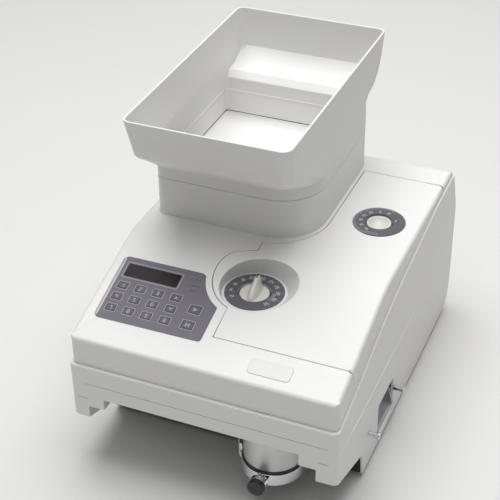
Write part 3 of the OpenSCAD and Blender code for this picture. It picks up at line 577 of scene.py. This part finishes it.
for a, b in zip(rows, rows[1:]):
    for i in range(len(a) - 1):
        bm.faces.new((a[i], a[i + 1], b[i + 1], b[i]))
bm.faces.new(rows[0][::-1])
bm.faces.new(rows[-1])
bmesh.ops.recalc_face_normals(bm, faces=bm.faces)
o = new_object("size_knob_body", bm, "knob_cream", "size_dial", sharp=50)
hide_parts("size_knob")
POINTER_LIFT = 16.5
pointer = bmesh.new()
bar(pointer, plan_place(*SIZE_DIAL, KNOB_FACE + POINTER_LIFT), -0.6, 8.0, -1.4, 15.0, 1.5, 0.25, -2.5)
new_object("knob_pointer", pointer, "shadow_gap", "size_dial")

# ---------------------------------------------------------------- hopper floor and seams
# hopper_floor is only in this visual model: the CAD leaves the neck open here
hop = nodes["hopper"].data
tree = BVHTree.FromPolygons([v.co for v in hop.vertices], [tuple(f.vertices) for f in hop.polygons])
MID = Vector((-0.057, 0.148, 0))  # metres, inside the neck
FLOOR_FRONT = 0.098  # metres, y of the floor's front edge
AROUND = 120
FLOOR_RINGS = ((276, 0.6), (285.2, 0.5), (284.6, 1.4), (282.4, 2.6), (281.2, 4.8), (281, 8))  # z and inset


def inner_ring(bm, z, inset, front=True):
    """Vertices along the hopper's inner wall, moved inwards; front=True stops at the floor's front edge."""
    ring = []
    for i in range(AROUND):
        a = math.tau * i / AROUND
        way = Vector((math.cos(a), math.sin(a), 0))
        start = Vector((MID.x, MID.y, z / 1000))
        reach = tree.ray_cast(start, way)[3]
        if front and way.y < -0.01:
            reach = min(reach, (FLOOR_FRONT - MID.y) / way.y)
        ring.append(bm.verts.new(start + way * (reach - inset / 1000)))
    return ring


def skin(bm, rings):
    """Faces between each ring and the next."""
    for a, b in zip(rings, rings[1:]):
        for i in range(AROUND):
            j = (i + 1) % AROUND
            bm.faces.new((a[i], a[j], b[j], b[i]))


bm = bmesh.new()
rings = [inner_ring(bm, z, inset) for z, inset in FLOOR_RINGS]
skin(bm, rings)
bm.faces.new(rings[-1])
bm.faces.new(rings[0][::-1])
bmesh.ops.recalc_face_normals(bm, faces=bm.faces)
new_object("hopper_floor", bm, "hopper_white", "hopper_body")
# floor_seam is a dark ring of painted shade at the floor's edge; neck_bead is a raised ring coloured lighter
# than the shell as a painted highlight
for name, mat, z0, z1, out in (("floor_seam", "shadow_gap", 285.2, 286.2, 0.35),
                               ("neck_bead", "highlight_white", 315.4, 317.0, 0.6)):
    bm = bmesh.new()
    rings = [inner_ring(bm, z, inset, False) for z, inset in
             ((z0, -0.2), (z0 + 0.2, out), (z1 - 0.2, out), (z1, -0.2))]
    skin(bm, rings)
    bmesh.ops.recalc_face_normals(bm, faces=bm.faces)
    new_object(name, bm, mat, "hopper_body")


# ---------------------------------------------------------------- bag clamp trims
HOOP_ROUND = 0.00025  # metres


def hoop(name, mat, body, centre, axis, radii, span, arc=(0, 360)):
    """A band of square section round an axis, over the span along it and an arc in degrees."""
    bm = bmesh.new()
    steps = max(8, int((arc[1] - arc[0]) / 6))
    closed = arc[1] - arc[0] >= 360
    rows = []
    for i in range(steps + (0 if closed else 1)):
        a = math.radians(arc[0] + (arc[1] - arc[0]) * i / steps)
        row = []
        for r, h in ((radii[0], span[0]), (radii[1], span[0]), (radii[1], span[1]), (radii[0], span[1])):
            u, v = r * math.cos(a), r * math.sin(a)
            p = (centre[0] + u, centre[1] + v, h) if axis == "z" else (centre[0] + u, h, centre[1] + v)
            row.append(bm.verts.new(Vector(p) / 1000))
        rows.append(row)
    pairs = list(zip(rows, rows[1:])) + ([(rows[-1], rows[0])] if closed else [])
    for a, b in pairs:
        for i in range(4):
            j = (i + 1) % 4
            bm.faces.new((a[i], a[j], b[j], b[i]))
    if not closed:
        bm.faces.new(rows[0])
        bm.faces.new(rows[-1][::-1])
    bmesh.ops.recalc_face_normals(bm, faces=bm.faces)
    bmesh.ops.bevel(bm, geom=[e for e in bm.edges if crisp(e, 0.8)], offset=HOOP_ROUND, segments=2, profile=0.5,
                    affect="EDGES", clamp_overlap=True)
    new_object(name, bm, mat, body)


# centres and spans are in the shared frame
TUBE = (70.0, -199.25)  # x and y of the bag tube's axis
KNOB_AXIS = (70.0, 54.0)  # x and z of the clamp knob's axis
# a black ring of painted shade and painted reflection: the dark line along the chrome clamp band
hoop("tube_shade_band", "black_plastic", "machine", TUBE, "z", (35.6, 36.9), (60.8, 63.4))
hoop("hinge_guard", "black_plastic", "machine", TUBE, "z", (35.8, 40.5), (77.5, 96.0),
     (158, 205))
hoop("knob_ferrule", "chrome_bright", "jaw_knob", KNOB_AXIS, "y", (10.0, 10.75),
     (-250.5, -244.5))

# ---------------------------------------------------------------- stage, light and camera
bm = bmesh.new()
bmesh.ops.create_grid(bm, x_segments=1, y_segments=1, size=6)
me = bpy.data.meshes.new("floor")
bm.to_mesh(me)
bm.free()
floor = bpy.data.objects.new("floor", me)
floor_finish = material("floor_pale", (0.75, 0.75, 0.75), 0.8, var=0.01, patch=1.5, bump=0.0, specular=0.1)
me.materials.append(floor_finish)
scene.collection.objects.link(floor)
floor.location.z = -0.0005

WORLD_LIGHT = 0.22
world = bpy.data.worlds.new("studio")
scene.world = world
world.use_nodes = True
world.node_tree.nodes["Background"].inputs[0].default_value = (1, 1, 1, 1)
world.node_tree.nodes["Background"].inputs[1].default_value = WORLD_LIGHT


def area(name, where, at, size, power):
    """A rectangular lamp that faces the point at."""
    d = bpy.data.lights.new(name, "AREA")
    d.shape = "RECTANGLE"
    d.size, d.size_y = size
    d.energy = power
    o = bpy.data.objects.new(name, d)
    scene.collection.objects.link(o)
    o.location = where
    o.rotation_euler = (Vector(at) - Vector(where)).to_track_quat("-Z", "Y").to_euler()


# metres and watts
area("overhead", (-0.15, 0.4, 2.9), (0, 0, 0.1), (2.6, 2.6), 90)
area("high_front", (0.4, -1.6, 2.7), (0, 0, 0.2), (1.6, 1.6), 8)

cam = bpy.data.cameras.new("camera")
cam.lens, cam.sensor_width = 91.78, 36
cam.clip_start, cam.clip_end = 0.05, 40
camera = bpy.data.objects.new("camera", cam)
scene.collection.objects.link(camera)
CAMERA_AT = Vector((0.48574, -1.23496, 1.11176))
az, el, roll = math.radians(23.15), math.radians(34.25), math.radians(-0.77)
back = Vector((math.sin(az) * math.cos(el), -math.cos(az) * math.cos(el), math.sin(el)))
right = Vector((math.cos(az), math.sin(az), 0))
up = back.cross(right)
rolled_right = math.cos(roll) * right + math.sin(roll) * up
rolled_up = -math.sin(roll) * right + math.cos(roll) * up
camera.matrix_world = Matrix((*zip(rolled_right, rolled_up, back, CAMERA_AT), (0, 0, 0, 1)))
scene.camera = camera
scene.view_settings.view_transform = "Standard"
